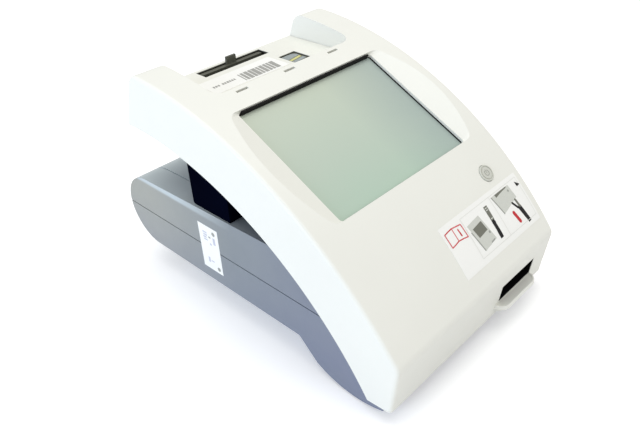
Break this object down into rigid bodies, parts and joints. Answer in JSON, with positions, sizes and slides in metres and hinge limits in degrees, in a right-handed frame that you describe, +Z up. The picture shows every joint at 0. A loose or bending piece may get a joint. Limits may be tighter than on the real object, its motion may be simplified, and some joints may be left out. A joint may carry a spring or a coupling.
{
  "type": "urine analyzer",
  "caption": "Desktop urine analyzer: arched cover with touch screen, front sliding test table and a thermal printer bay on top",
  "frame": {"origin": "on the surface the analyzer stands on, under the middle of its bounding box", "axes": "+Z up, +Y from the screen side to the back, +X to the right seen from the front"},
  "size_m": [0.171, 0.2598, 0.1615],
  "materials": {
    "cover_plastic": "moulded, fine texture",
    "base_plastic": "moulded, fine texture",
    "dark_plastic": "moulded, smooth",
    "black_plastic": "moulded",
    "grey_plastic": "moulded",
    "button_plastic": "moulded, smooth",
    "tray_plastic": "moulded",
    "foam": "soft black gasket",
    "screen_film": "grey-green, satin",
    "circuit_board": "solder mask",
    "chip": "moulded",
    "steel": "plated",
    "dark_steel": "black oxide",
    "gold_contact": "gold plated",
    "white_plastic": "moulded",
    "rubber": "soft",
    "paper": "thermal paper",
    "card_core": "wound core",
    "ceramic": "fired",
    "lens_glass": "clear",
    "cell_jacket": "plain sleeve",
    "label": "printed, satin"
  },
  "bodies": {
    "case": {"top_cover": "cover_plastic", "mid_housing": "dark_plastic", "base_upper": "base_plastic", "base_lower": "base_plastic", "front_chin": "cover_plastic", "screen_gasket": "foam", "touch_panel": "screen_film", "lcd_module": "steel", "main_board": "circuit_board", "board_chips": "chip", "board_screws": "steel", "button_spring": "steel", "button_switch": "chip", "button_board": "circuit_board", "bay_tray": "tray_plastic", "card_socket": "black_plastic", "card_contacts": "gold_contact", "printer_chassis": "grey_plastic", "print_head": "steel", "head_strip": "ceramic", "printer_motor": "steel", "table_motor": "steel", "table_guide": "black_plastic", "optics_housing": "black_plastic", "read_lens": "lens_glass", "read_board": "circuit_board", "lamp_block": "white_plastic", "battery_cells": "cell_jacket", "battery_contacts": "steel", "door_hinge_pin": "steel", "dc_jack": "black_plastic", "serial_port": "steel", "rubber_feet": "rubber", "case_screws": "steel", "cover_screws": "dark_steel", "front_label": "label", "side_label": "label", "bay_label": "label"},
    "power_button": {"power_button": "button_plastic"},
    "memory_card": {"memory_card": "grey_plastic"},
    "platen": {"platen_shaft": "steel", "platen_roller": "rubber", "platen_gear": "white_plastic"},
    "motor_gear": {"printer_motor_gear": "white_plastic"},
    "paper": {"paper_roll": "paper", "roll_core": "card_core"},
    "lever": {"release_lever": "grey_plastic"},
    "table": {"test_table": "white_plastic", "calibration_bar": "white_plastic"},
    "insert": {"table_insert": "grey_plastic"},
    "pinion": {"table_pinion": "white_plastic"},
    "battery_door": {"battery_door": "base_plastic"}
  },
  "joints": [
    {"name": "table_slide", "type": "slide", "parent": "case", "child": "table", "axis": [0, -1, 0], "range_m": [0, 0.085]},
    {"name": "pinion_spin", "type": "hinge", "parent": "case", "child": "pinion", "pos_m": [0.0215, -0.072, 0.0263], "axis": [0, 0, -1], "range_deg": [-2, 814]},
    {"name": "insert_slide", "type": "slide", "parent": "table", "child": "insert", "axis": [0, -1, 0], "range_m": [0, 0.104]},
    {"name": "button_press", "type": "slide", "parent": "case", "child": "power_button", "axis": [0, 0.6665, -0.7455], "range_m": [0, 0.0012], "stiffness_N_per_m": 800, "springref_m": -0.0004},
    {"name": "platen_spin", "type": "hinge", "parent": "case", "child": "platen", "pos_m": [-0.00275, 0.0875, 0.13], "axis": [1, 0, 0], "continuous": true},
    {"name": "motor_gear_spin", "type": "hinge", "parent": "case", "child": "motor_gear", "pos_m": [0.032, 0.0815, 0.11961], "axis": [1, 0, 0], "continuous": true},
    {"name": "paper_spin", "type": "hinge", "parent": "case", "child": "paper", "pos_m": [-0.00275, 0.058, 0.112], "axis": [1, 0, 0], "continuous": true},
    {"name": "lever_tilt", "type": "hinge", "parent": "case", "child": "lever", "pos_m": [-0.00275, 0.0915, 0.1355], "axis": [1, 0, 0], "range_deg": [0, 35]},
    {"name": "card_lift", "type": "slide", "parent": "case", "child": "memory_card", "axis": [0, 0, 1], "range_m": [0, 0.012]},
    {"name": "battery_door_swing", "type": "hinge", "parent": "case", "child": "battery_door", "pos_m": [-0.033, 0.0689, 0.0049], "axis": [1, 0, 0], "range_deg": [0, 85]}
  ],
  "couplings": [
    {"joint": "pinion_spin", "follows": "table_slide", "rad_per_m": 166.67},
    {"joint": "motor_gear_spin", "follows": "platen_spin", "ratio": -2}
  ]
}
